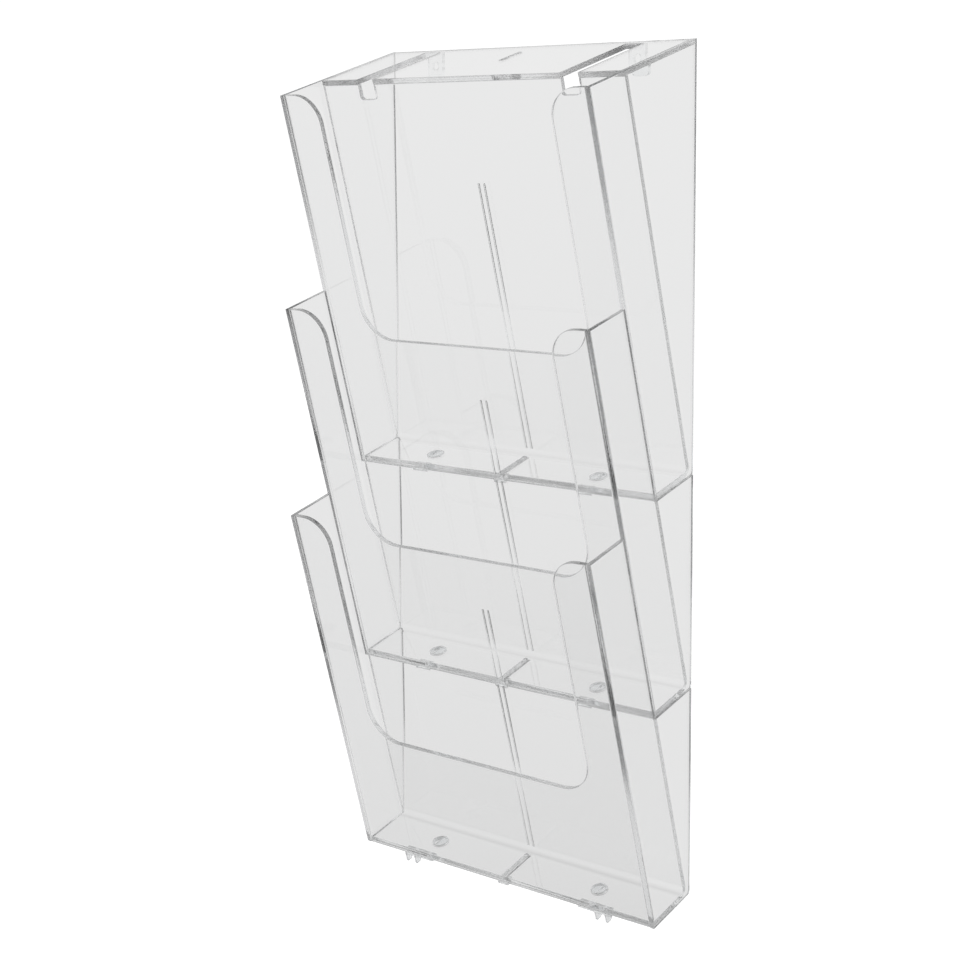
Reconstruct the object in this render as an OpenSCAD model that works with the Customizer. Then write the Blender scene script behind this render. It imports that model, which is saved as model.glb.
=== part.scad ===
// Three-tier brochure rack for a wall, in clear sheet.
// Each tier is a leaning pocket with side panels that reach back to the wall.
// +Z is up, the wall is the plane Y = 0 and the pockets open towards -Y.
// The origin lies on the wall, midway between the two hanging screws.

/* [Pockets] */
// Outside width over the side panels
width = 232; // [195:1:280]
// Thickness of the clear sheet
sheet = 3.2; // [2.6:0.1:3.9]
// Lean of the pockets from upright, in degrees
lean = 15.5; // [12.5:0.1:19]
// Height of a pocket along its slope
pocket_h = 240; // [200:1:290]
// Depth of a pocket, from the back sheet's rear face to the front face
pocket_d = 37.6; // [31:0.1:46]
// Outside radius of the bend between back and floor
bend_r = 6.4; // [5:0.1:8]
// Distance from the wall to the foot of the back sheet
foot_gap = 1; // [0.5:0.1:6]
// Radius of the side panels' lower corner at the wall
wall_corner_r = 3; // [2:0.5:5]

/* [Front scoop] */
// Width of the strips left beside the scoop, measured from the outside
strip_w = 29; // [24:0.5:36]
// Height of the front lip along the slope
lip_h = 85.5; // [70:0.5:105]
// Radius of the scoop's lower corners
scoop_r = 22; // [15:0.5:26]
// Radius of the rounded shoulder on top of each strip
shoulder_r = 18.5; // [14:0.5:20]

/* [Divider rails and slot] */
// Clear width between the two rails, for a divider sheet
rail_space = 3.2; // [2.6:0.1:3.8]
// Width of a rail
rail_w = 1; // [0.8:0.1:1.6]
// How far a rail stands out
rail_h = 0.8; // [0.6:0.1:1.6]
// Height of the rails on the top tier's back, along the slope
rail_top = 176; // [150:1:195]
// Height of the rails on a front lip, along the slope
lip_rail_top = 52; // [30:1:65]
// Width of the divider slot in a floor
slot_w = 3.2; // [2.8:0.1:4]
// Distance from the back sheet's rear face to the floor slot
slot_back = 7.5; // [6.5:0.1:10]

/* [Clips between tiers] */
// Distance of the lowest claws, and of the top notches for such claws, from the outside
claw_inset = 39; // [34:0.5:45]
// Width of the notch for the claws, and of the slot behind it
notch_w = 12.5; // [11:0.1:15]
// Depth of the notch below the top
notch_deep = 12.5; // [11:0.1:16]
// Corner radius of the notch
notch_r = 2; // [1:0.1:3]
// How far the claws reach below the floor
claw_reach = 6.5; // [5:0.1:8]
// Width of a claw at its root
claw_w = 3.6; // [3:0.1:4]
// Distance between the middles of the two claws
claw_pitch = 7.6; // [7:0.1:8.2]
// Distance of the clip's round head from the outside
head_inset = 51.5; // [50.5:0.5:56]
// Diameter of the hole for the head
head_hole_d = 10.4; // [9:0.1:11.5]
// Distance of the head's middle from the back sheet's rear face
head_back = 19.5; // [17:0.1:21]
// Width of the clip's arm
arm_w = 7.3; // [6:0.1:8]
// Width of the locating block under the arm
block_w = 11; // [9.5:0.1:12]
// How far the block reaches below the floor
block_reach = 1.2; // [0.8:0.1:2]
// Thickness of the foot that joins the claws to the block
foot_t = 1.2; // [1:0.1:1.8]
// How far the foot reaches back under the floor
foot_reach = 4; // [3:0.1:5]
// Width of the centre tab
tab_w = 8; // [6:0.5:10]
// How far the centre tab reaches below the floor
tab_reach = 1.7; // [1.2:0.1:2.2]

/* [Top plate and hanging] */
// Strip of the top plate left behind the notch slots
slot_land = 5; // [4.5:0.1:8]
// Width of the short middle slot in the top plate
mid_slot_w = 2.6; // [2:0.1:4]
// Length of the short middle slot
mid_slot_len = 19.5; // [12:0.5:24]
// Distance of the middle slot from the wall end of the plate
mid_slot_back = 14; // [10:0.5:18]
// Width of a hanger ear
ear_w = 12; // [10:0.5:16]
// Thickness of a hanger ear
ear_t = 3; // [2.5:0.1:4]
// Drop of a hanger ear below the rack's highest edge
ear_drop = 20; // [18:0.5:26]
// Diameter of a screw hole
screw_d = 5; // [3.5:0.1:6]
// Drop of the screw holes below the rack's highest edge
screw_drop = 12.5; // [11.5:0.1:14]

/* [Hidden] */
$fn = 64;

clear_sheet = [0.80, 0.84, 0.86, 0.45];
clear_side = [0.70, 0.76, 0.80, 0.45];
clear_clip = [0.55, 0.62, 0.68, 0.9];

joint_gap = 0.1;      // cement line between two pieces of one tier
tier_gap = 0.3;       // between one tier and the next
clip_fit = 0.15;      // round the clip's head and arm, and the centre tab
past = 1;             // how far a cut runs past the faces it opens
rail_foot = 0.5;      // from the bend to a rail's lower end
corner_steps = 8;     // straight pieces in a side panel's round corner
claw_tip = 0.5;       // width of a claw's tip, as a share of its root
claw_slope = 0.55;    // where the slope to the tip starts, as a share of the reach
head_rim = 1;         // rim left round the sunk half of a clip's head

top = 0;
middle = 1;
bottom = 2;

// The front panel of one tier and the back sheet of the next lie in one plane.
pitch = (pocket_d - sheet) / sin(lean);
step_h = pitch * cos(lean) - tier_gap;       // lower tier's own height, under the tier above
rack_top = pocket_h / cos(lean) + foot_gap * tan(lean);
inner_w = width - 2 * (sheet + joint_gap);
claw_x = width / 2 - claw_inset;
head_x = width / 2 - head_inset;
inner_front = -pocket_d + sheet;             // rear face of a front panel
foot_back = inner_front + foot_reach;        // rear end of a clip's foot

// Where the wall is, seen in a tier's own leaning frame.
function wall_y(z) = (foot_gap + z * sin(lean)) / cos(lean);
// Height of a tier's web: the top tier's ends at its plate, a lower one's under the tier above.
function web_h(k) = k == top ? pocket_h : step_h;
// Points of a round corner about a centre, between two angles.
function round_corner(c, r, from, to) =
    [for (i = [0:corner_steps]) let (a = from + (to - from) * i / corner_steps) c + r * [cos(a), sin(a)]];

// Places a shape in the leaning frame of tier k: x across, y towards the wall, z up the slope.
module in_tier(k) {
    translate([0, -foot_gap, screw_drop - rack_top - k * pitch]) rotate([lean, 0, 0]) children();
}

// Extrudes a side profile, drawn as (y, z), over a width about the middle.
module across(w) {
    rotate([90, 0, 90]) translate([0, 0, -w / 2]) linear_extrude(w) children();
}

// A block between two corners.
module span(a, b) {
    translate(a) cube(b - a);
}

// Side profile of a back sheet and its floor, bent from one sheet.
module bent_profile(h) {
    translate([-sheet, bend_r]) square([sheet, h - bend_r]);
    translate([inner_front + joint_gap, 0]) square([pocket_d - sheet - joint_gap - bend_r, sheet]);
    translate([-bend_r, bend_r]) intersection() {
        difference() {
            circle(bend_r);
            circle(bend_r - sheet);
        }
        translate([0, -bend_r]) square(bend_r);
    }
}

// The notch in the top tier's back sheet, which takes the claws of a further rack.
module claw_notch() {
    low = pocket_h - notch_deep;
    span([-notch_w / 2, -sheet - past, low + notch_r], [notch_w / 2, past, pocket_h + past]);
    span([-notch_w / 2 + notch_r, -sheet - past, low], [notch_w / 2 - notch_r, past, low + 2 * notch_r]);
    for (x = [-1, 1])
        translate([x * (notch_w / 2 - notch_r), past, low + notch_r])
            rotate([90, 0, 0]) cylinder(r = notch_r, h = sheet + 2 * past);
}

// A shallow notch in a lower tier's back sheet, for a block or tab of the tier above.
module block_notch(w, reach) {
    span([-w / 2 - tier_gap, -sheet - past, step_h - reach], [w / 2 + tier_gap, past, step_h + past]);
}

// The keyhole in a floor for a clip's head and arm.
module clip_keyhole() {
    translate([head_x, -head_back, -past]) cylinder(d = head_hole_d, h = sheet + 2 * past);
    span([head_x - arm_w / 2 - clip_fit, inner_front - past, -past],
         [head_x + arm_w / 2 + clip_fit, -head_back, sheet + past]);
}

module back_floor(k) {
    sheet_top = k == top ? pocket_h - sheet - joint_gap : step_h;
    color(clear_sheet) in_tier(k) difference() {
        across(inner_w) bent_profile(sheet_top);
        for (s = [0, 1]) mirror([s, 0, 0]) {
            if (k == top) translate([claw_x, 0, 0]) claw_notch();
            else translate([head_x, 0, 0]) block_notch(block_w, block_reach);
            clip_keyhole();
        }
        if (k != top) block_notch(tab_w, tab_reach);
        span([-slot_w / 2, inner_front - past, -past], [slot_w / 2, -slot_back, sheet + past]);
    }
}

// Outline of a front panel: two strips joined by the lip, with the scoop between them.
module scoop_outline() {
    edge = inner_w / 2;
    inner = width / 2 - strip_w;
    difference() {
        translate([-edge, 0]) square([2 * edge, pocket_h]);
        translate([-inner, lip_h + scoop_r]) square([2 * inner, pocket_h]);
        translate([-inner + scoop_r, lip_h]) square([2 * (inner - scoop_r), pocket_h]);
        for (x = [-1, 1]) translate([x * (inner - scoop_r), lip_h + scoop_r]) circle(scoop_r);
        for (s = [0, 1]) mirror([s, 0]) difference() {
            translate([inner - past, pocket_h - shoulder_r]) square([shoulder_r + past, shoulder_r + past]);
            translate([inner + shoulder_r, pocket_h - shoulder_r]) circle(shoulder_r);
        }
    }
}

module front_panel(k) {
    color(clear_sheet) in_tier(k)
        translate([0, inner_front, 0]) rotate([90, 0, 0]) linear_extrude(sheet) scoop_outline();
}

// Side panel: the end of the pocket and the web that reaches the wall, in one flat piece.
module side_panel(k, s) {
    h = web_h(k);
    corner = [wall_y(0) - wall_corner_r / tan((90 + lean) / 2), wall_corner_r];
    rear = k == top ? [] : [[-sheet - tier_gap, pocket_h], [-sheet - tier_gap, h]];
    outline = concat(
        [[-pocket_d, 0], [-pocket_d, pocket_h]], rear, [[wall_y(h), h]],
        round_corner(corner, wall_corner_r, -lean, -90));
    color(clear_side) in_tier(k)
        translate([s * (width / 2 - sheet / 2), 0, 0]) across(sheet) polygon(outline);
}

// Plate that closes the top, from the front face of the back sheet to the wall.
module top_plate() {
    low = pocket_h - sheet;
    color(clear_sheet) in_tier(top) difference() {
        across(inner_w)
            polygon([[-sheet, low], [-sheet, pocket_h], [wall_y(pocket_h), pocket_h], [wall_y(low), low]]);
        for (x = [-claw_x, claw_x])
            span([x - notch_w / 2, -sheet - past, low - past],
                 [x + notch_w / 2, wall_y(low) - slot_land, pocket_h + past]);
        span([-mid_slot_w / 2, wall_y(low) - mid_slot_back - mid_slot_len, low - past],
             [mid_slot_w / 2, wall_y(low) - mid_slot_back, pocket_h + past]);
    }
}

// A pair of rails standing on a face at y, between two heights.
module rail_pair(y, from, to) {
    for (x = [-1, 1])
        translate([x * (rail_space + rail_w) / 2, y - joint_gap - rail_h / 2, (from + to) / 2])
            cube([rail_w, rail_h, to - from], center = true);
}

module back_rails(k) {
    color(clear_clip) in_tier(k)
        rail_pair(-sheet, bend_r + rail_foot, k == top ? rail_top : step_h - rail_foot);
}

module lip_rails(k) {
    color(clear_clip) in_tier(k) rail_pair(-pocket_d, sheet, lip_rail_top);
}

// One claw, hanging from the foot, with its tip on the -X side of every clip.
module claw(s) {
    half = claw_w / 2;
    root = -foot_t / 2;
    translate([0, inner_front, 0]) mirror([s < 0 ? 1 : 0, 0, 0]) rotate([90, 0, 0]) linear_extrude(sheet)
        polygon([[-half, root], [-half, -claw_reach], [-half + claw_w * claw_tip, -claw_reach],
                 [half, -claw_reach * claw_slope], [half, root]]);
}

// Clip in a floor: head and arm in the sheet, block under it, and claws below the lowest floor only.
module clip(k, s) {
    arm = arm_w / 2;
    block = block_w / 2;
    arm_front = inner_front + joint_gap;
    foot_end = claw_x + (claw_pitch + claw_w) / 2;
    color(clear_clip) in_tier(k) mirror([s < 0 ? 1 : 0, 0, 0]) difference() {
        union() {
            translate([head_x, -head_back, 0]) cylinder(d = head_hole_d - 2 * clip_fit, h = sheet);
            span([head_x - arm, arm_front, 0], [head_x + arm, -head_back, sheet]);
            span([head_x - arm, arm_front, -block_reach / 2], [head_x + arm, foot_back, sheet / 2]);
            span([head_x - block, -pocket_d, -block_reach], [head_x + block, foot_back, -joint_gap]);
            if (k == bottom) {
                span([head_x, -pocket_d, -foot_t], [foot_end, foot_back, -joint_gap]);
                for (x = [-1, 1]) translate([claw_x + x * claw_pitch / 2, 0, 0]) claw(s);
            }
        }
        translate([head_x, -head_back, sheet / 2]) intersection() {
            cylinder(d = head_hole_d - 2 * head_rim, h = sheet);
            span([head_rim, -head_hole_d, 0], [head_hole_d, head_hole_d, sheet]);
        }
    }
}

// Tab at the front end of the divider slot, which centres the tier below.
module centre_tab(k) {
    plug = slot_w / 2 - clip_fit;
    color(clear_clip) in_tier(k) {
        span([-tab_w / 2, -pocket_d, -tab_reach], [tab_w / 2, foot_back, -joint_gap]);
        span([-plug, inner_front + joint_gap, -tab_reach / 2], [plug, foot_back, sheet]);
    }
}

// Ear under the wall end of the top cover plate, with a screw hole.
module hanger_ear(s) {
    under = -sheet / cos(lean) - joint_gap;   // the plate's underside at the wall
    color(clear_clip) translate([s * claw_x, 0, screw_drop]) difference() {
        across(ear_w) polygon([[0, under], [0, -ear_drop], [-ear_t, -ear_drop],
                               [-ear_t, under - ear_t * tan(lean)]]);
        translate([0, past, -screw_drop]) rotate([90, 0, 0]) cylinder(d = screw_d, h = ear_t + 2 * past);
    }
}

back_floor(top);  // top_back_floor
front_panel(top);  // top_front_panel
side_panel(top, -1);  // top_left_side
side_panel(top, 1);  // top_right_side
top_plate();
back_rails(top);  // top_back_rails
lip_rails(top);  // top_lip_rails
clip(top, -1);  // top_left_clip
clip(top, 1);  // top_right_clip
centre_tab(top);  // top_centre_tab
hanger_ear(-1);  // left_hanger_ear
hanger_ear(1);  // right_hanger_ear
back_floor(middle);  // middle_back_floor
front_panel(middle);  // middle_front_panel
side_panel(middle, -1);  // middle_left_side
side_panel(middle, 1);  // middle_right_side
back_rails(middle);  // middle_back_rails
lip_rails(middle);  // middle_lip_rails
clip(middle, -1);  // middle_left_clip
clip(middle, 1);  // middle_right_clip
centre_tab(middle);  // middle_centre_tab
back_floor(bottom);  // bottom_back_floor
front_panel(bottom);  // bottom_front_panel
side_panel(bottom, -1);  // bottom_left_side
side_panel(bottom, 1);  // bottom_right_side
back_rails(bottom);  // bottom_back_rails
clip(bottom, -1);  // bottom_left_clip
clip(bottom, 1);  // bottom_right_clip
centre_tab(bottom);  // bottom_centre_tab
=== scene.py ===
import math
import bmesh
import bpy
import numpy as np
from mathutils import Matrix, Vector
from mathutils.geometry import tessellate_polygon


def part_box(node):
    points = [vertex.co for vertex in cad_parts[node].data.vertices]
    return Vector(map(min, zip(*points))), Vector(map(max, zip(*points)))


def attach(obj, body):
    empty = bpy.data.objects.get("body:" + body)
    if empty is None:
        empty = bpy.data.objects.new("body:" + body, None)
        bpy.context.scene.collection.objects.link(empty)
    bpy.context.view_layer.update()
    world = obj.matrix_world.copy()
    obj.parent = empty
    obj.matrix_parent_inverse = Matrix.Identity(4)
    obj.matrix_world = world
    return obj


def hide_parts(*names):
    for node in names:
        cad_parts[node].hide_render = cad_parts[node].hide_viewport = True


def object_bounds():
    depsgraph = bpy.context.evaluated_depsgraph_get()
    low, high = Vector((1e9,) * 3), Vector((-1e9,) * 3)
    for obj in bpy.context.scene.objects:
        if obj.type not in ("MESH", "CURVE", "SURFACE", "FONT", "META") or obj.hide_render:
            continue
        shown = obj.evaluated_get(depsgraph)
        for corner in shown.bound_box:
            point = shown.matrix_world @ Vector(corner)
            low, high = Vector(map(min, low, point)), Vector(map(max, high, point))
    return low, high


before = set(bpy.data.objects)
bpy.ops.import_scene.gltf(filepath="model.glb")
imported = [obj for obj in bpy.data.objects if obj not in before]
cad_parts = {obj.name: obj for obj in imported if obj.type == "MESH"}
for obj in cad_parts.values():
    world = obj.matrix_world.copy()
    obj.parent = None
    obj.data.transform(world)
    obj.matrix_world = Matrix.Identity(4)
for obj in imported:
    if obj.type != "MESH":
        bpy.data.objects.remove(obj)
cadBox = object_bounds()
mm = 0.001
sides = {-1: "left", 1: "right"}

# Sizes that every tier shares, in millimetres and degrees
pocket = {"width": 232.0, "sheet": 3.2, "lean": 15.5, "height": 240.0, "depth": 37.6,
          "bend": 6.4, "wallCorner": 3.0, "wallCornerSteps": 8, "seam": 0.1, "tierGap": 0.3}
leanAngle = math.radians(pocket["lean"])
leanCos, leanSin, leanTan = math.cos(leanAngle), math.sin(leanAngle), math.tan(leanAngle)
edgeX = pocket["width"] / 2 - pocket["sheet"] - pocket["seam"]  # where a sheet between the sides ends
innerFront = pocket["sheet"] - pocket["depth"]  # the inner face of the front sheet
stepHeight = (pocket["depth"] - pocket["sheet"]) / leanTan - pocket["tierGap"]
webHeight = {"top": pocket["height"], "middle": stepHeight, "bottom": stepHeight}


def tierOrigin(tier):
    # the foot of a tier's back sheet: the corner of its front panel's box, moved back along the two slopes
    low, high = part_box(tier + "_front_panel")
    y = low.y / mm + pocket["depth"] * leanCos + pocket["height"] * leanSin
    z = low.z / mm + pocket["depth"] * leanSin
    return y, z


origins = {tier: tierOrigin(tier) for tier in webHeight}
footGap = -origins["top"][0]


def wallY(z):
    # where the wall is in a tier's leaning frame, at height z along the slope
    return (footGap + z * leanSin) / leanCos


def place(tier, x, y, z):
    # leaning frame to rack frame: y and z turned by the lean, then moved to the tier's foot, in metres
    footY, footZ = origins[tier]
    return np.stack([x, footY + y * leanCos - z * leanSin, footZ + y * leanSin + z * leanCos], -1) * mm


# How every rim is rounded, how finely curves are cut, and two tolerances
rim = {"round": 0.45, "steps": 3, "arcSteps": 14, "cutReach": 1e-5, "leastArea": 1e-9}


def arc(centre, radius, start, stop, steps=None):
    # centre + radius * (cos a, sin a), with the angle a evenly spaced from start to stop in degrees
    a = np.radians(np.linspace(start, stop, (steps or rim["arcSteps"]) + 1))
    return np.stack([centre[0] + radius * np.cos(a), centre[1] + radius * np.sin(a)], 1)


def joined(*parts):
    # points and runs of points, end to end in one outline
    return np.concatenate([np.atleast_2d(np.asarray(p, float)) for p in parts])


def mirrored(half):
    # a left half is the right half with x negated, walked the other way
    return (half * [-1, 1])[::-1]


def rectangle(x0, x1, z0, z1):
    # the four corners, walked anticlockwise
    return joined((x0, z0), (x1, z0), (x1, z1), (x0, z1))


def leftStep(loop):
    # corner mitre: the sum of both edges' left normals over 1 plus their dot product
    def normals(v):
        return (v / np.linalg.norm(v, axis=1, keepdims=True))[:, ::-1] * [-1, 1]
    before = normals(loop - np.roll(loop, 1, 0))
    after = normals(np.roll(loop, -1, 0) - loop)
    return (before + after) / (1 + np.sum(before * after, 1, keepdims=True))


def capTriangles(loops):
    # triangles between the loops, turned so that they face the same way: twice a triangle's area is
    # the cross product of two of its edges, and its sign says which way it faces
    points = np.concatenate(loops)
    tris = np.array(tessellate_polygon([[Vector((*p, 0)) for p in loop] for loop in loops]))
    a, b, c = points[tris[:, 0]], points[tris[:, 1]], points[tris[:, 2]]
    area = (b[:, 0] - a[:, 0]) * (c[:, 1] - a[:, 1]) - (b[:, 1] - a[:, 1]) * (c[:, 0] - a[:, 0])
    tris[area < 0] = tris[area < 0][:, ::-1]
    return tris[np.abs(area) > rim["leastArea"]]


def shell(name, loops, thick, roundness, shape, cuts=()):
    # a sheet: each loop carries a rim profile whose inset is r * (1 - cos f) and whose height is
    # thick / 2 - r plus r * sin f, mirrored below; then both faces are filled and shape() puts it in place
    quarter = np.radians(np.linspace(0, 90, rim["steps"] + 1))
    angles = np.concatenate([-quarter[::-1], quarter])
    below = np.repeat([-1, 1], rim["steps"] + 1)
    inset = roundness * (1 - np.cos(angles))
    height = below * (thick / 2 - roundness) + roundness * np.sin(angles)
    rings = len(angles)
    points, faces, start = [], [], 0
    caps = [[], []]
    for loop in loops:
        count = len(loop)
        flat = loop[None] + inset[:, None, None] * leftStep(loop)[None]
        tall = np.broadcast_to(height[:, None, None], (rings, count, 1))
        points.append(np.concatenate([flat, tall], 2).reshape(-1, 3))
        i = np.arange(count)
        j = (i + 1) % count
        r = np.arange(rings - 1)[:, None] * count + start
        faces.append(np.stack([r + i, r + j, r + j + count, r + i + count], -1).reshape(-1, 4))
        caps[0].append(start + i)
        caps[1].append(start + (rings - 1) * count + i)
        start += rings * count
    points = np.concatenate(points)
    tris = capTriangles([points[c, :2] for c in caps[1]])
    low, high = np.concatenate(caps[0])[tris][:, ::-1], np.concatenate(caps[1])[tris]
    quads = np.concatenate(faces)
    mesh = bpy.data.meshes.new(name)
    mesh.from_pydata(points.tolist(), [], quads.tolist() + low.tolist() + high.tolist())
    onRim = np.zeros(len(mesh.polygons), np.int32)
    onRim[:len(quads)] = 1
    mesh.polygons.foreach_set("material_index", onRim)
    work = bmesh.new()
    work.from_mesh(mesh)
    for edge in work.edges:  # crisp where a face meets its rim
        edge.smooth = len({f.material_index for f in edge.link_faces}) == 1
    for v in cuts:
        bmesh.ops.bisect_plane(work, geom=work.verts[:] + work.edges[:] + work.faces[:],
                               plane_co=(0, v, 0), plane_no=(0, 1, 0), dist=rim["cutReach"])
    work.to_mesh(mesh)
    work.free()
    corners = np.zeros(len(mesh.vertices) * 3)
    mesh.vertices.foreach_get("co", corners)
    u, v, w = corners.reshape(-1, 3).T
    mesh.vertices.foreach_set("co", shape(u, v, w).ravel())
    mesh.polygons.foreach_set("use_smooth", np.ones(len(mesh.polygons), bool))
    mesh.update()
    piece = bpy.data.objects.new(name, mesh)
    bpy.context.scene.collection.objects.link(piece)
    return piece


def joinPieces(name, pieces):
    # several shells become one piece, with their points as they are
    work = bmesh.new()
    for piece in pieces:
        work.from_mesh(piece.data)
    mesh = bpy.data.meshes.new(name)
    work.to_mesh(mesh)
    work.free()
    for piece in pieces:
        bpy.data.objects.remove(piece)
    whole = bpy.data.objects.new(name, mesh)
    bpy.context.scene.collection.objects.link(whole)
    return whole


def upright(tier, yMid):
    # a sheet that stands: u is x, v is the height up the slope, and w comes forward from its middle
    return lambda u, v, w: place(tier, u, yMid - w, v)


def crosswise(tier, hand, yMid):
    # a block outlined from the front: u is x, v is the height, and w runs through it along y
    return lambda u, v, w: place(tier, hand * u, yMid - hand * w, v)


# Clear plastic: what all its finishes share, then each finish's own values; the rim finishes' colours are
# darker than the face's, which is painted shade along the rims
plastic = {"index": 1.49, "bumpDistance": 0.001, "waveDetail": 2, "hazeSize": 60, "hazeDetail": 6,
           "hazeFrom": 0.55, "hazeTo": 0.8, "hazeGain": 2.5}
finishes = {
    "clearFace": {"colour": (0.989, 0.99, 0.99), "roughness": 0.004, "waviness": 0.02, "waveSize": 9},
    # the polished and milled edge colours are darker than the clear face: painted shade on the rims, beside
    # their real roughness and waviness
    "polishedEdgeAndPaintedShade": {"colour": (0.9, 0.905, 0.91), "roughness": 0.045, "waviness": 0.1, "waveSize": 300},
    "milledEdgeAndPaintedShade": {"colour": (0.7, 0.7, 0.705), "roughness": 0.2, "waviness": 0.3, "waveSize": 700},
    "mouldedClip": {"colour": (0.93, 0.94, 0.945), "roughness": 0.03, "waviness": 0.2, "waveSize": 250}}


def clearPlastic(name):
    # a faint waviness from one noise, and from a finer one a haze that multiplies the roughness
    # where the noise is high, by 1 at hazeFrom up to hazeGain at hazeTo
    s = finishes[name]
    material = bpy.data.materials.new(name)
    material.use_nodes = True
    nodes, links = material.node_tree.nodes, material.node_tree.links
    shader = nodes["Principled BSDF"]
    shader.inputs["Base Color"].default_value = (*s["colour"], 1)
    shader.inputs["Transmission Weight"].default_value = 1
    shader.inputs["IOR"].default_value = plastic["index"]
    coords = nodes.new("ShaderNodeTexCoord")
    waves = nodes.new("ShaderNodeTexNoise")
    waves.inputs["Scale"].default_value = s["waveSize"]
    waves.inputs["Detail"].default_value = plastic["waveDetail"]
    links.new(coords.outputs["Object"], waves.inputs["Vector"])
    bump = nodes.new("ShaderNodeBump")
    bump.inputs["Strength"].default_value = s["waviness"]
    bump.inputs["Distance"].default_value = plastic["bumpDistance"]
    links.new(waves.outputs["Fac"], bump.inputs["Height"])
    links.new(bump.outputs["Normal"], shader.inputs["Normal"])
    haze = nodes.new("ShaderNodeTexNoise")
    haze.inputs["Scale"].default_value = plastic["hazeSize"]
    haze.inputs["Detail"].default_value = plastic["hazeDetail"]
    links.new(coords.outputs["Object"], haze.inputs["Vector"])
    spread = nodes.new("ShaderNodeMapRange")
    spread.inputs["From Min"].default_value = plastic["hazeFrom"]
    spread.inputs["From Max"].default_value = plastic["hazeTo"]
    spread.inputs["To Min"].default_value = s["roughness"]
    spread.inputs["To Max"].default_value = s["roughness"] * plastic["hazeGain"]
    links.new(haze.outputs["Fac"], spread.inputs["Value"])
    links.new(spread.outputs["Result"], shader.inputs["Roughness"])
    return material


# the rims' finish carries painted shade in its darker colour
sheetFinish = [clearPlastic("clearFace"), clearPlastic("polishedEdgeAndPaintedShade")]  # faces, then rims
milledEdgeAndPaintedShade = clearPlastic("milledEdgeAndPaintedShade")
clipFinish = [clearPlastic("mouldedClip")] * 2
print("finishes made:", ", ".join(finishes))


def finishPiece(piece, tier, node, materials):
    # the piece gets its finishes, moves with its tier and stands for its CAD node
    for material in materials:
        piece.data.materials.append(material)
    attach(piece, f"{tier}_tier")
    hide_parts(node)


backFloor = {"notchX": 77.0, "notchWidth": 12.5, "notchDeep": 12.5, "notchRound": 2.0, "notchSteps": 6,
             "headX": 64.5, "headBack": 19.5, "holeDiameter": 10.4, "holeSteps": 40,
             "slotWidth": 3.2, "slotBack": 7.5, "blockWidth": 11.0, "blockReach": 1.2,
             "tabWidth": 8.0, "tabReach": 1.7, "bendSteps": 16, "bendLead": 0.5}


def makeBackFloor(tier):
    # one flat sheet, x across it and its length running back along the floor and up the back; it is
    # cut to its outline with the holes in it, and then bent round a quarter circle
    s = backFloor
    middleRound = pocket["bend"] - pocket["sheet"] / 2
    floorFront = innerFront + pocket["seam"]
    floorRun = -pocket["bend"] - floorFront
    bendRun = middleRound * math.pi / 2
    topTier = tier == "top"
    topZ = pocket["height"] - pocket["sheet"] - pocket["seam"] if topTier else stepHeight

    def run(z):
        # length along the sheet up to height z on the back
        return floorRun + bendRun + z - pocket["bend"]

    topV = run(topZ)
    slotV = -s["slotBack"] - floorFront
    half = s["slotWidth"] / 2
    slot = joined((-half, 0), (-half, slotV), (half, slotV), (half, 0))
    if topTier:
        wide, r = s["notchWidth"] / 2, s["notchRound"]
        lowV = run(pocket["height"] - s["notchDeep"])
        right = joined((s["notchX"] + wide, topV),
                       arc((s["notchX"] + wide - r, lowV + r), r, 0, -90, s["notchSteps"]),
                       arc((s["notchX"] - wide + r, lowV + r), r, -90, -180, s["notchSteps"]),
                       (s["notchX"] - wide, topV))
        notches = joined(right, mirrored(right))
    else:  # room for the blocks and the tab of the tier above
        block = s["blockWidth"] / 2 + pocket["tierGap"]
        tab = s["tabWidth"] / 2 + pocket["tierGap"]
        blockV, tabV = topV - s["blockReach"], topV - s["tabReach"]
        right = joined((s["headX"] + block, topV), (s["headX"] + block, blockV),
                       (s["headX"] - block, blockV), (s["headX"] - block, topV))
        middle = joined((tab, topV), (tab, tabV), (-tab, tabV), (-tab, topV))
        notches = joined(right, middle, mirrored(right))
    headV = -s["headBack"] - floorFront
    holes = [arc((x, headV), s["holeDiameter"] / 2, 0, -360, s["holeSteps"])[:-1]
             for x in (-s["headX"], s["headX"])]
    outline = joined((-edgeX, 0), slot, (edgeX, 0), (edgeX, topV), notches, (-edgeX, topV))

    def bent(u, v, w):
        # flat along the floor, round the bend at (R - w), then straight up the back
        turn = np.clip((v - floorRun) / middleRound, 0, math.pi / 2)
        along = np.minimum(v, floorRun)
        up = np.maximum(v - floorRun - bendRun, 0)
        y = floorFront + along + (middleRound - w) * np.sin(turn)
        z = pocket["bend"] + up - (middleRound - w) * np.cos(turn)
        return place(tier, u, y, z)

    cuts = joined(floorRun - s["bendLead"],
                  (floorRun + bendRun * np.linspace(0, 1, s["bendSteps"] + 1))[:, None],
                  floorRun + bendRun + s["bendLead"]).ravel()
    piece = shell(f"{tier}.backAndFloor", [outline, *holes], pocket["sheet"], rim["round"], bent, cuts)
    finishPiece(piece, tier, f"{tier}_back_floor", sheetFinish)


frontPanel = {"strip": 29.0, "lip": 85.5, "scoopRound": 22.0, "shoulderRound": 18.5}


def makeFrontPanel(tier):
    # the right half runs up the outer edge, round the shoulder, down the scoop and round its corner
    s = frontPanel
    inner = pocket["width"] / 2 - s["strip"]
    tall, big, small = pocket["height"], s["scoopRound"], s["shoulderRound"]
    right = joined((edgeX, 0), (edgeX, tall),
                   arc((inner + small, tall - small), small, 90, 180),
                   arc((inner - big, s["lip"] + big), big, 0, -90))
    piece = shell(f"{tier}.frontPanel", [joined(right, mirrored(right))], pocket["sheet"], rim["round"],
                  upright(tier, innerFront - pocket["sheet"] / 2))
    finishPiece(piece, tier, f"{tier}_front_panel", sheetFinish)


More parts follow.
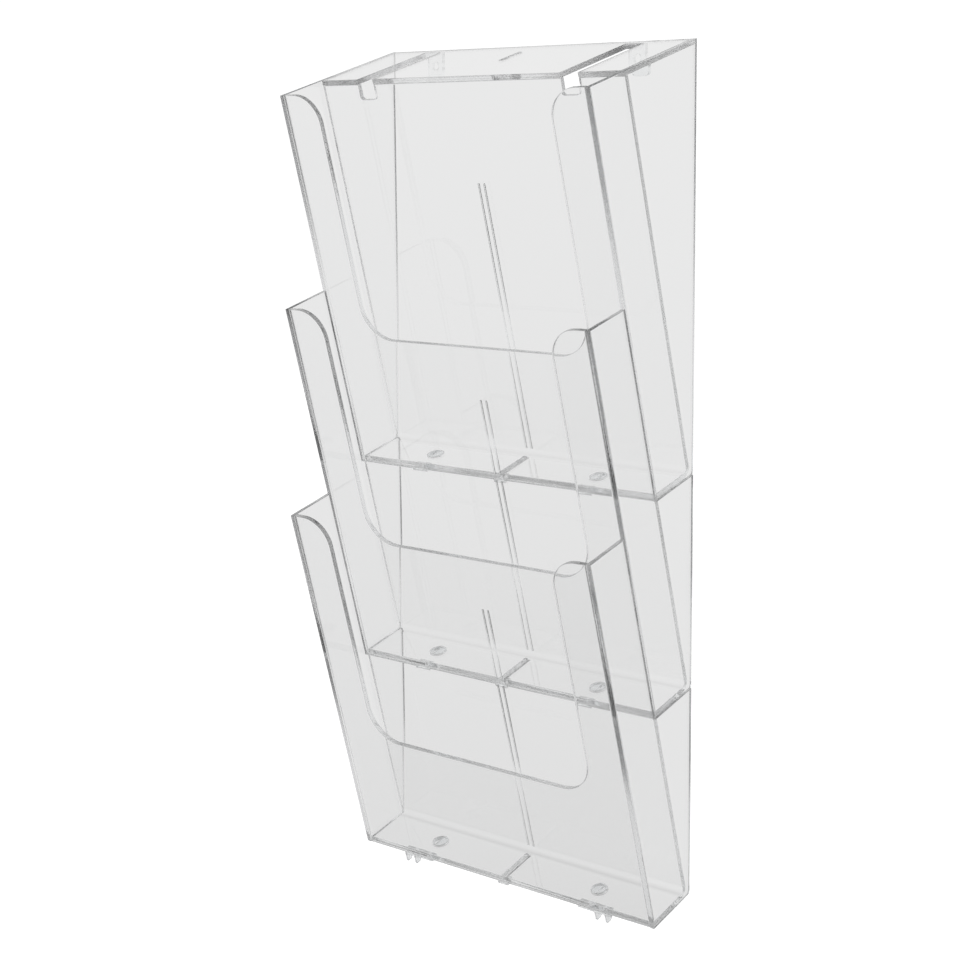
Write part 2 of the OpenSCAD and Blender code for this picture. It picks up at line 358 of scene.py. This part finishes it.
def makeSide(tier, hand):
    # from the front of the floor to the rounded corner at the wall, up the wall as far as the web goes, and
    # back over the pocket; that corner's centre is in front of it by r over the tangent of half its angle
    tall, closed, r = pocket["height"], webHeight[tier], pocket["wallCorner"]
    corner = (wallY(0) - r / math.tan((math.pi / 2 + leanAngle) / 2), r)
    rear = joined((wallY(closed), closed))
    if tier != "top":
        clear = -pocket["sheet"] - pocket["tierGap"]
        rear = joined(rear, (clear, closed), (clear, tall))
    outline = joined((-pocket["depth"], 0),
                     arc(corner, r, -90, -pocket["lean"], pocket["wallCornerSteps"]),
                     rear, (-pocket["depth"], tall))
    xMid = hand * (pocket["width"] - pocket["sheet"]) / 2
    piece = shell(f"{tier}.{sides[hand]}Side", [outline], pocket["sheet"], rim["round"],
                  lambda u, v, w: place(tier, xMid + w, u, v))
    finishPiece(piece, tier, f"{tier}_{sides[hand]}_side", sheetFinish)


topPlate = {"slotLand": 5.0, "midSlotWidth": 2.6, "midSlotLength": 19.5, "midSlotBack": 14.0,
            "shearWidth": 2.0, "milledNormal": 0.8, "endBand": 1.0}


def makeTopPlate():
    # x across and y towards the wall, with two long slots in from the front and a short one inside
    s, b = topPlate, backFloor
    high = pocket["height"]
    front, midZ = -pocket["sheet"], high - pocket["sheet"] / 2
    rearY = wallY(midZ)
    lowWallY = wallY(high - pocket["sheet"])
    slotY = lowWallY - s["slotLand"]
    near, far = b["notchX"] - b["notchWidth"] / 2, b["notchX"] + b["notchWidth"] / 2
    cut = joined((near, front), (near, slotY), (far, slotY), (far, front))
    outline = joined((-edgeX, front), mirrored(cut), cut, (edgeX, front), (edgeX, rearY), (-edgeX, rearY))
    stop = lowWallY - s["midSlotBack"]
    half, start = s["midSlotWidth"] / 2, stop - s["midSlotLength"]
    midSlot = joined((-half, start), (-half, stop), (half, stop), (half, start))

    def leaning(u, v, w):
        # the last stretch at the wall is sheared so that the edge stands upright
        nearWall = np.clip((v - rearY + s["shearWidth"]) / s["shearWidth"], 0, 1)
        return place("top", u, v + w * leanTan * nearWall, midZ + w)

    piece = shell("topPlate", [outline, midSlot], pocket["sheet"], rim["round"], leaning)
    for face in piece.data.polygons:
        # the slots' long walls are left as milled: they face sideways, inside the plate's two ends
        if abs(face.normal.x) > s["milledNormal"] and abs(face.center.x) < (edgeX - s["endBand"]) * mm:
            face.material_index = len(sheetFinish)
    # the milled slot walls take a darker colour, which is painted shade on them
    finishPiece(piece, "top", "top_plate", [*sheetFinish, milledEdgeAndPaintedShade])


rails = {"space": 3.2, "width": 1.0, "tall": 0.8, "round": 0.2, "top": 176.0, "lipTop": 52.0, "foot": 0.5}


def makeRails(tier, name, node, faceY, low, high):
    # two bars, each with its middle half a space and half a width from x = 0, just off the face at faceY
    s = rails
    xMid, half = (s["space"] + s["width"]) / 2, s["width"] / 2
    standing = upright(tier, faceY - pocket["seam"] - s["tall"] / 2)
    bars = [shell("bar", [rectangle(x - half, x + half, low, high)], s["tall"], s["round"], standing)
            for x in (xMid, -xMid)]
    finishPiece(joinPieces(name, bars), tier, node, sheetFinish)


def makeTierRails(tier):
    # on the back sheet from the bend up, and on the front over the lip, where a tier hangs below
    high = rails["top"] if tier == "top" else webHeight[tier] - rails["foot"]
    makeRails(tier, f"{tier}.backRails", f"{tier}_back_rails", -pocket["sheet"],
              pocket["bend"] + rails["foot"], high)
    if tier != "bottom":
        makeRails(tier, f"{tier}.lipRails", f"{tier}_lip_rails", -pocket["depth"],
                  pocket["sheet"], rails["lipTop"])


clip = {"headDiameter": 10.1, "headSteps": 36, "sunkRim": 1.0, "sunkTurn": 80, "sunkSteps": 18,
        "footThick": 1.2, "footReach": 4.0, "clawReach": 6.5, "clawWidth": 3.6, "clawPitch": 7.6,
        "clawTip": 0.5, "clawSlope": 0.55, "round": 0.25, "touch": 0.02}
lipBack = innerFront + clip["footReach"]
lipDepth, lipMid = lipBack + pocket["depth"], (lipBack - pocket["depth"]) / 2


def makeClip(tier, hand):
    # a head of two discs, the upper one with part of it sunk, and a block below the floor's front;
    # the lowest tier also has a foot beside the block, and two claws cut to a slope
    s, b = clip, backFloor
    headX, half = b["headX"], pocket["sheet"] / 2
    circle = arc((headX, -b["headBack"]), s["headDiameter"] / 2, 0, 360, s["headSteps"])[:-1]
    sunk = arc((headX, -b["headBack"]), s["headDiameter"] / 2 - s["sunkRim"],
               s["sunkTurn"], -s["sunkTurn"], s["sunkSteps"])

    def lying(zMid):
        return lambda u, v, w: place(tier, hand * u, v, zMid + hand * w)

    parts = [shell("low", [circle], half, s["round"], lying(half / 2)),
             shell("high", [circle, sunk], half, s["round"], lying(half * 1.5 + s["touch"]))]
    wide = b["blockWidth"] / 2
    top = -pocket["seam"]
    parts.append(shell("block", [rectangle(headX - wide, headX + wide, -b["blockReach"], top)],
                       lipDepth, s["round"], crosswise(tier, hand, lipMid)))
    if tier == "bottom":
        claw = s["clawWidth"] / 2
        footEnd = b["notchX"] + s["clawPitch"] / 2 + claw
        parts.append(shell("foot", [rectangle(headX + wide + s["touch"], footEnd, -s["footThick"], top)],
                           lipDepth, s["round"], crosswise(tier, hand, lipMid)))
        clawTop, reach = -s["footThick"] - s["touch"], s["clawReach"]
        for away in (-0.5, 0.5):
            x = hand * b["notchX"] + away * s["clawPitch"]
            outline = joined((x - claw, clawTop), (x - claw, -reach),
                             (x - claw + s["clawWidth"] * s["clawTip"], -reach),
                             (x + claw, -reach * s["clawSlope"]), (x + claw, clawTop))
            parts.append(shell("claw", [outline], pocket["sheet"], s["round"],
                               crosswise(tier, 1, innerFront - pocket["sheet"] / 2)))
    piece = joinPieces(f"{tier}.{sides[hand]}Clip", parts)
    finishPiece(piece, tier, f"{tier}_{sides[hand]}_clip", clipFinish)


def makeTab(tier):
    # a small block at the front end of the floor's slot
    wide = backFloor["tabWidth"] / 2
    outline = rectangle(-wide, wide, -backFloor["tabReach"], -pocket["seam"])
    piece = shell(f"{tier}.centreTab", [outline], lipDepth, clip["round"], crosswise(tier, 1, lipMid))
    finishPiece(piece, tier, f"{tier}_centre_tab", clipFinish)


ear = {"width": 12.0, "thick": 3.0, "cornerRound": 2.5, "cornerSteps": 6, "screwHole": 5.0, "holeSteps": 32}


def makeEar(hand):
    # a plate at the wall with rounded lower corners and a round screw hole at the origin's height
    s, node = ear, f"{sides[hand]}_hanger_ear"
    low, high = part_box(node)
    half, r, x = s["width"] / 2, s["cornerRound"], hand * backFloor["notchX"]
    bottom, top = low.z / mm, high.z / mm - s["thick"] * leanTan
    outline = joined(arc((x - half + r, bottom + r), r, 180, 270, s["cornerSteps"]),
                     arc((x + half - r, bottom + r), r, 270, 360, s["cornerSteps"]),
                     (x + half, top), (x - half, top))
    hole = arc((x, 0), s["screwHole"] / 2, 0, -360, s["holeSteps"])[:-1]
    piece = shell(f"{sides[hand]}HangerEar", [outline, hole], s["thick"], rim["round"],
                  lambda u, v, w: np.stack([u, -s["thick"] / 2 - w, v], -1) * mm)
    finishPiece(piece, "top", node, clipFinish)


for tier in webHeight:
    makeBackFloor(tier)
    makeFrontPanel(tier)
    makeTierRails(tier)
    makeTab(tier)
    for hand in sides:
        makeSide(tier, hand)
        makeClip(tier, hand)
    print("tier made:", tier)
makeTopPlate()
for hand in sides:
    makeEar(hand)
print("top plate and ears made")

# Lengths in metres; a stop is a height from 0, straight down, to 1, straight up, and its brightness
studio = {"floorDrop": 0.75, "floorSize": 12.0, "floorGlow": 0.55, "floorRoughness": 0.8,
          "floorColour": (0.92, 0.92, 0.92), "backdrop": 1.05, "bounces": 96,
          "stops": [(0.0, 0.2), (0.12, 0.36), (0.25, 0.68), (0.32, 0.785),
                    (0.5, 0.825), (0.75, 0.86), (0.88, 0.55), (1.0, 0.3)]}


def makeFloor():
    # a pale square below the rack that mirrors and clear sheets don't show
    s = studio
    half = s["floorSize"] / 2
    z = cadBox[0].z - s["floorDrop"]
    mesh = bpy.data.meshes.new("floor")
    corners = [(-half, -half, z), (half, -half, z), (half, half, z), (-half, half, z)]
    mesh.from_pydata(corners, [], [(0, 1, 2, 3)])
    floor = bpy.data.objects.new("floor", mesh)
    bpy.context.scene.collection.objects.link(floor)
    material = bpy.data.materials.new("paleFloor")
    material.use_nodes = True
    shader = material.node_tree.nodes["Principled BSDF"]
    shader.inputs["Base Color"].default_value = (*s["floorColour"], 1)
    shader.inputs["Roughness"].default_value = s["floorRoughness"]
    shader.inputs["Emission Color"].default_value = (1, 1, 1, 1)
    shader.inputs["Emission Strength"].default_value = s["floorGlow"]
    mesh.materials.append(material)
    floor.visible_glossy = False
    floor.visible_transmission = False


def makeLight():
    # a white room: the band round the horizon is brightest, mirrored light from above and below is dimmer;
    # a direction's height goes from -1..1 to 0..1 and picks its brightness from the stops
    world = bpy.data.worlds.new("studio")
    bpy.context.scene.world = world
    world.use_nodes = True
    nodes, links = world.node_tree.nodes, world.node_tree.links
    background = nodes["Background"]
    coords = nodes.new("ShaderNodeTexCoord")
    split = nodes.new("ShaderNodeSeparateXYZ")
    links.new(coords.outputs["Generated"], split.inputs["Vector"])
    ramp = nodes.new("ShaderNodeValToRGB")
    shift = nodes.new("ShaderNodeMapRange")
    shift.inputs["From Min"].default_value = -1
    shift.inputs["From Max"].default_value = 1
    links.new(split.outputs["Z"], shift.inputs["Value"])
    links.new(shift.outputs["Result"], ramp.inputs["Fac"])
    elements = ramp.color_ramp.elements
    elements.remove(elements[0])
    for number, (position, value) in enumerate(studio["stops"]):
        element = elements.new(position) if number else elements[0]
        element.position = position
        element.color = (value, value, value, 1)
    path = nodes.new("ShaderNodeLightPath")  # what is seen directly is the plain backdrop
    mix = nodes.new("ShaderNodeMix")
    mix.data_type = "RGBA"
    links.new(path.outputs["Is Camera Ray"], mix.inputs["Factor"])
    links.new(ramp.outputs["Color"], mix.inputs["A"])
    mix.inputs["B"].default_value = (*[studio["backdrop"]] * 3, 1)
    links.new(mix.outputs["Result"], background.inputs["Color"])


view = {"place": (0.7299, -0.9267, -0.0387), "yaw": 40.242, "pitch": 9.203, "roll": -0.586,
        "lens": 71.96, "shiftX": 0.0113, "shiftY": -0.0382}


def makeCamera():
    # turned to the left by yaw, then down from level by pitch, then about its own axis by roll
    data = bpy.data.cameras.new("camera")
    data.lens = view["lens"]
    data.shift_x, data.shift_y = view["shiftX"], view["shiftY"]
    camera = bpy.data.objects.new("camera", data)
    camera.location = view["place"]
    yaw, pitch, roll = (math.radians(view[k]) for k in ("yaw", "pitch", "roll"))
    tip = Matrix.Rotation(math.pi / 2 - pitch, 4, "X")
    turn = Matrix.Rotation(yaw, 4, "Z") @ tip @ Matrix.Rotation(roll, 4, "Z")
    camera.rotation_mode = "QUATERNION"
    camera.rotation_quaternion = turn.to_quaternion()
    bpy.context.scene.collection.objects.link(camera)
    bpy.context.scene.camera = camera


makeFloor()
makeLight()
makeCamera()
scene = bpy.context.scene
scene.view_settings.view_transform = "Standard"
scene.cycles.max_bounces = studio["bounces"]
scene.cycles.transmission_bounces = studio["bounces"]
scene.cycles.glossy_bounces = studio["bounces"]
print("studio made")
